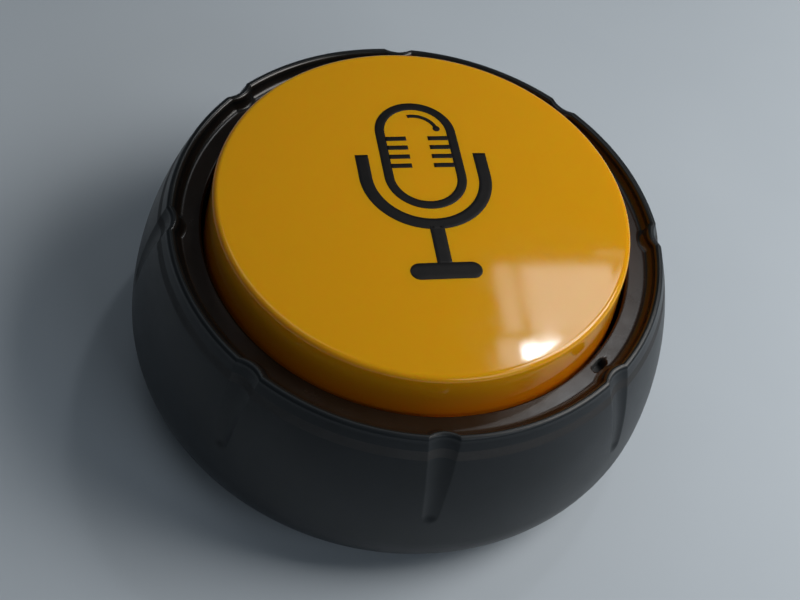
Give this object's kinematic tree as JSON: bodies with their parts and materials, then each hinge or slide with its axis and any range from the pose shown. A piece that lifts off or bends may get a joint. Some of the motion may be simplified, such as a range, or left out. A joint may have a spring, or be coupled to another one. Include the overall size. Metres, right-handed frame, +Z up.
{
  "type": "quiz buzzer",
  "caption": "Palm-sized round press buzzer: fluted black housing, big domed yellow button with a microphone symbol, sprung travel, battery door and mode switch underneath.",
  "frame": {"origin": "centre of the round housing, on the plane the four feet stand on", "axes": "+Z up out of the button, +Y towards the top of the printed symbol, +X to its right"},
  "size_m": [0.089, 0.089, 0.0405],
  "materials": {
    "housing_black": "satin moulded, blue-black",
    "button_yellow": "glossy golden yellow",
    "print_black": "pad-printed ink",
    "base_black": "fine-textured moulding",
    "foot_rubber": "matt rubber",
    "screw_steel": "zinc plated",
    "contact_nickel": "nickel plated",
    "spring_steel": "bright drawn wire",
    "cell_sleeve": "plain printed sleeve",
    "deck_white": "natural moulding",
    "board_green": "solder mask",
    "chip_black": "moulded package",
    "switch_black": "moulded",
    "plunger_brown": "moulded",
    "capacitor_sleeve": "shrink sleeve",
    "mic_can": "spun can",
    "boot_rubber": "soft rubber",
    "speaker_steel": "plated pressing",
    "cone_paper": "pressed paper",
    "gasket_foam": "closed-cell foam",
    "switch_can": "tinned can",
    "knob_white": "moulded",
    "lead_red": "flexible sleeve",
    "lead_black": "flexible sleeve",
    "lead_yellow": "flexible sleeve"
  },
  "bodies": {
    "base_unit": {"housing_shell": "housing_black", "base_plate": "base_black", "foot_pads": "foot_rubber", "aaa_cell_1": "cell_sleeve", "aaa_cell_2": "cell_sleeve", "battery_contact_link": "contact_nickel", "battery_contact_positive": "contact_nickel", "battery_contact_negative": "contact_nickel", "battery_spring_1": "spring_steel", "battery_spring_2": "spring_steel", "inner_deck": "deck_white", "circuit_board": "board_green", "voice_chip": "chip_black", "capacitor": "capacitor_sleeve", "tact_switch_body": "switch_black", "microphone_capsule": "mic_can", "microphone_boot": "boot_rubber", "speaker_frame": "speaker_steel", "speaker_cone": "cone_paper", "speaker_magnet": "speaker_steel", "speaker_gasket": "gasket_foam", "mode_switch_body": "switch_can", "return_spring_1": "spring_steel", "return_spring_2": "spring_steel", "return_spring_3": "spring_steel", "case_screws": "screw_steel", "deck_screws": "screw_steel", "board_screws": "screw_steel", "battery_lead_red": "lead_red", "battery_lead_black": "lead_black", "speaker_leads": "lead_red", "microphone_leads": "lead_black", "mode_switch_leads": "lead_yellow"},
    "button": {"button_cap": "button_yellow", "button_symbol": "print_black"},
    "switch_plunger": {"tact_switch_plunger": "plunger_brown"},
    "battery_cover": {"battery_door": "base_black", "battery_door_screw": "screw_steel"},
    "mode_knob": {"mode_switch_knob": "knob_white"}
  },
  "joints": [
    {"name": "button_press", "type": "slide", "parent": "base_unit", "child": "button", "axis": [0, 0, -1], "range_m": [0, 0.003], "stiffness_N_per_m": 900, "springref_m": -0.003, "deforming": ["return_spring_1", "return_spring_2", "return_spring_3"]},
    {"name": "plunger_press", "type": "slide", "parent": "base_unit", "child": "switch_plunger", "axis": [0, 0, -1], "range_m": [0, 0.0003]},
    {"name": "battery_door_open", "type": "hinge", "parent": "base_unit", "child": "battery_cover", "pos_m": [-0.025, -0.0105, 0.0012], "axis": [0, 1, 0], "range_deg": [0, 40]},
    {"name": "mode_slide", "type": "slide", "parent": "base_unit", "child": "mode_knob", "axis": [0, 1, 0], "range_m": [0, 0.0025]}
  ],
  "couplings": [
    {"joint": "plunger_press", "follows": "button_press", "ratio": 0.1}
  ]
}
